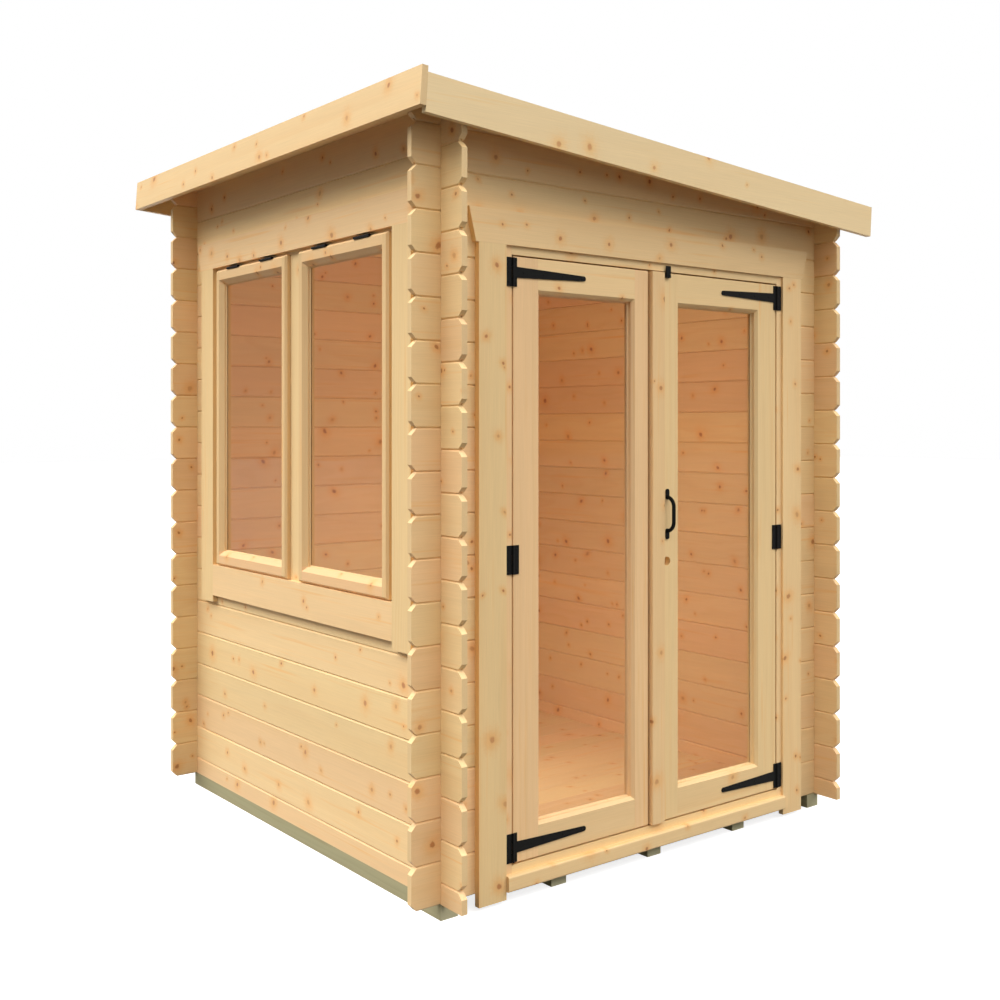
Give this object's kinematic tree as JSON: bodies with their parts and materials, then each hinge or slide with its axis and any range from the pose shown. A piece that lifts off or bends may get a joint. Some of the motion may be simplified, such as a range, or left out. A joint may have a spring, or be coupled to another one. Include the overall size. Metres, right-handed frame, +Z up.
{
  "type": "log cabin",
  "caption": "Small pent-roofed log cabin with interlocking log walls, glazed double doors that open, a double window, a boarded floor and bearers.",
  "frame": {"origin": "on the ground, under the middle of the four log walls", "axes": "+Z up; the doors face -Y, the window wall and the high side of the roof are at -X"},
  "size_m": [1.9528, 1.952, 2.298],
  "materials": {
    "log_pine": "planed, unpainted",
    "trim_pine": "planed, unpainted",
    "floor_pine": "planed, unpainted",
    "roof_pine": "planed, unpainted",
    "treated_timber": "pressure treated, sawn",
    "roof_felt": "mineral felt",
    "glass": "clear",
    "black_iron": "satin black"
  },
  "bodies": {
    "cabin": {"bearers": "treated_timber", "floor_boards": "floor_pine", "front_wall_left": "log_pine", "front_wall_right": "log_pine", "front_wall_over": "log_pine", "back_wall": "log_pine", "right_wall": "log_pine", "left_wall_below": "log_pine", "left_wall_front": "log_pine", "left_wall_back": "log_pine", "left_wall_over": "log_pine", "door_jamb_left": "trim_pine", "door_jamb_right": "trim_pine", "door_head": "trim_pine", "door_sill": "trim_pine", "door_threshold": "trim_pine", "door_trim_left": "trim_pine", "door_trim_right": "trim_pine", "door_lintel_board": "trim_pine", "hinge_plates_left": "black_iron", "hinge_plates_right": "black_iron", "window_frame": "trim_pine", "window_sashes": "trim_pine", "window_glass": "glass", "window_hinges": "black_iron", "window_trims": "trim_pine", "window_lintel_board": "trim_pine", "window_sill_board": "trim_pine", "purlins": "roof_pine", "roof_boards": "roof_pine", "roof_felt": "roof_felt", "fascia_front": "trim_pine", "fascia_back": "trim_pine", "fascia_left": "trim_pine", "fascia_right": "trim_pine"},
    "door_left": {"door_left_frame": "trim_pine", "door_left_glass": "glass", "door_left_straps": "black_iron"},
    "door_right": {"door_right_frame": "trim_pine", "door_right_glass": "glass", "door_right_straps": "black_iron", "cover_strip": "trim_pine", "pull_handle": "black_iron", "top_stop": "black_iron"}
  },
  "joints": [
    {"name": "door_left_hinge", "type": "hinge", "parent": "cabin", "child": "door_left", "pos_m": [-0.5825, -0.825, 0.976], "axis": [0, 0, -1], "range_deg": [0, 150]},
    {"name": "door_right_hinge", "type": "hinge", "parent": "cabin", "child": "door_right", "pos_m": [0.5825, -0.825, 0.976], "axis": [0, 0, 1], "range_deg": [0, 150]}
  ]
}
